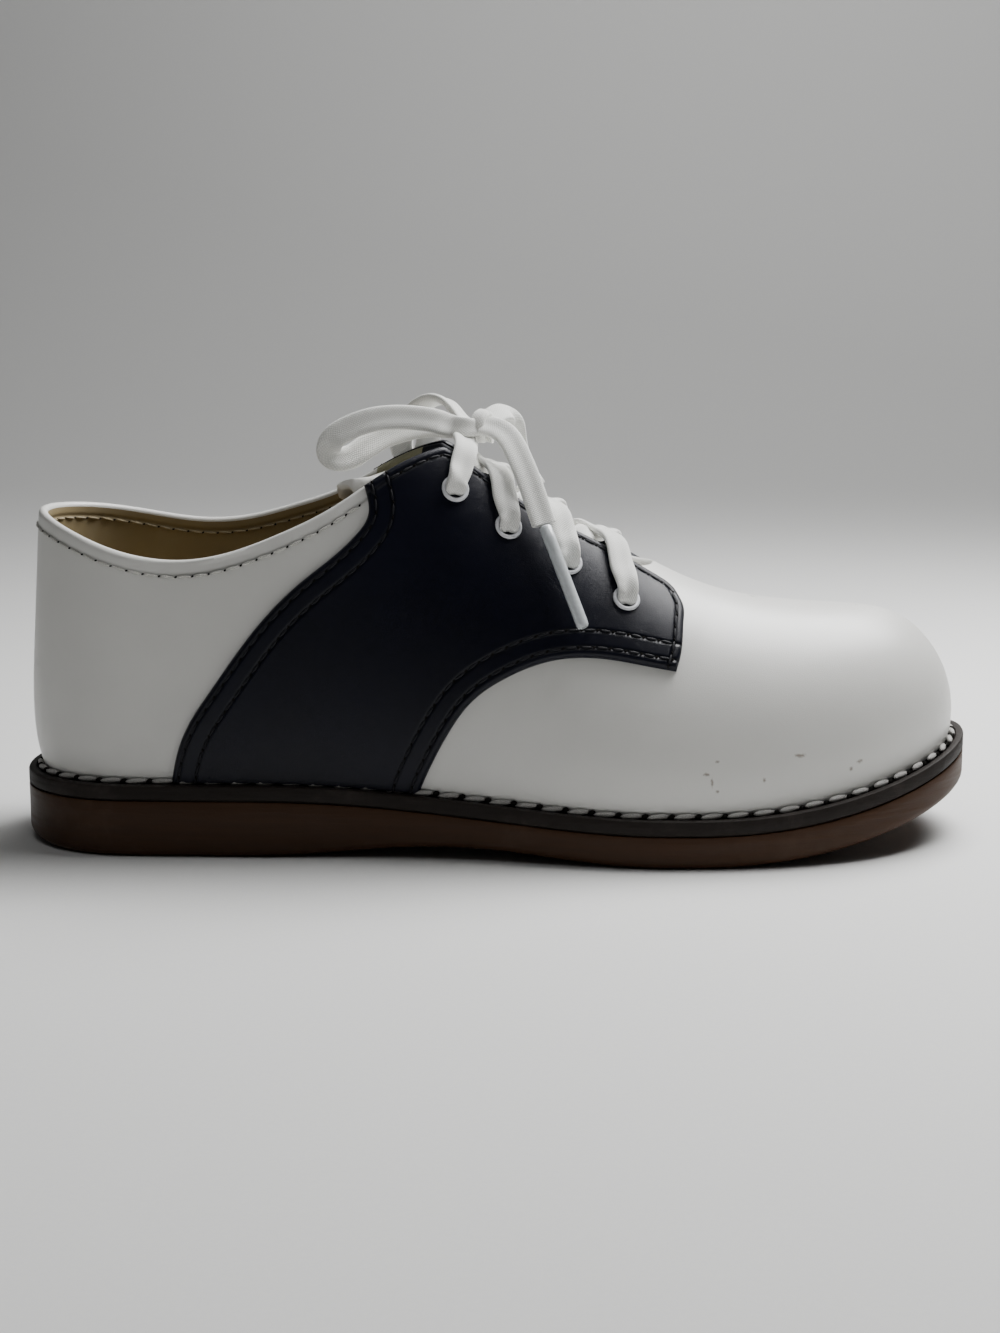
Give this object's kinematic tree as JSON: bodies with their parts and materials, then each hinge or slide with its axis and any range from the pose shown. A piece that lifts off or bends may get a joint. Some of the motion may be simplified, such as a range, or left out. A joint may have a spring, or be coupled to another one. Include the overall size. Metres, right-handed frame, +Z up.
{
  "type": "saddle shoe",
  "caption": "Right-foot lace-up saddle shoe with a low collar, a contrasting band over the instep, a welted sole and a tied bow.",
  "frame": {"origin": "middle of the shoe's footprint, on the ground, under the middle of its bounding box", "axes": "+X from heel to toe, +Y towards the inner (medial) side of this right shoe, +Z up"},
  "size_m": [0.215, 0.0791, 0.099],
  "materials": {
    "sole_rubber": "brown rubber, satin",
    "welt_strip": "dark brown strip, dull, stitched round",
    "sock_lining": "tan lining leather, matt",
    "white_leather": "smooth white leather, semi-gloss",
    "navy_leather": "navy-black leather, fine grain, soft sheen",
    "eyelet_paint": "white enamel",
    "lace_cotton": "flat woven cotton, matt",
    "aglet_plastic": "clear-white plastic tip"
  },
  "bodies": {
    "root": {"outsole": "sole_rubber", "welt": "welt_strip", "insole": "sock_lining", "upper": "white_leather", "tongue": "white_leather", "saddle_lateral": "navy_leather", "saddle_medial": "navy_leather", "eyelet_lateral_1": "eyelet_paint", "eyelet_lateral_2": "eyelet_paint", "eyelet_lateral_3": "eyelet_paint", "eyelet_lateral_4": "eyelet_paint", "eyelet_medial_1": "eyelet_paint", "eyelet_medial_2": "eyelet_paint", "eyelet_medial_3": "eyelet_paint", "eyelet_medial_4": "eyelet_paint", "lace_bar": "lace_cotton", "lace_cross_1": "lace_cotton", "lace_cross_2": "lace_cotton", "lace_cross_3": "lace_cotton", "lace_knot": "lace_cotton", "lace_loop_near": "lace_cotton", "lace_loop_far": "lace_cotton", "lace_end_near": "lace_cotton", "lace_end_far": "lace_cotton", "aglet_near": "aglet_plastic", "aglet_far": "aglet_plastic"}
  },
  "joints": []
}
